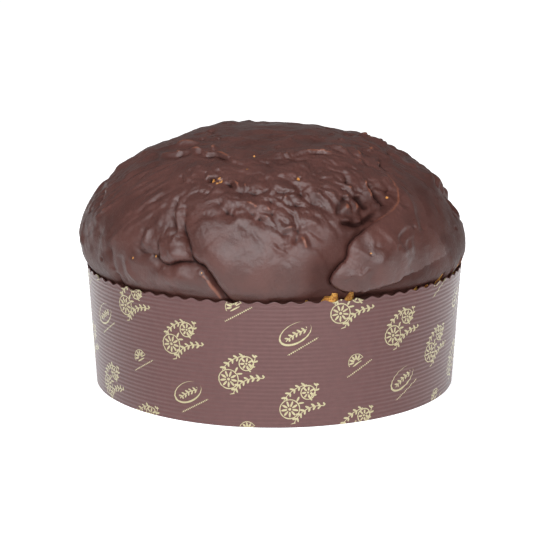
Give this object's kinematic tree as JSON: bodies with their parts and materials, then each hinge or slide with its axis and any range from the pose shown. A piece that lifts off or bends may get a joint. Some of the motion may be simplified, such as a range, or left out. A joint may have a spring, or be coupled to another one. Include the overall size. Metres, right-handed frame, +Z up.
{
  "type": "chocolate-coated panettone",
  "caption": "Low round panettone with a rippled chocolate coating over its dome, baked and served in a scalloped, corrugated paper case.",
  "frame": {"origin": "centre of the paper case's flat underside, on the axis of the round case", "axes": "+Z up along the case's axis, -Y towards the front with the big fold in the coating, +X to the right"},
  "size_m": [0.2243, 0.2261, 0.1498],
  "materials": {
    "printed_paper": "satin",
    "plain_paper": "matte",
    "bread": "matte",
    "chocolate": "satin"
  },
  "bodies": {
    "root": {"paper_case_wall": "printed_paper", "paper_case_tray": "plain_paper", "panettone_bread": "bread", "chocolate_coating": "chocolate"}
  },
  "joints": []
}
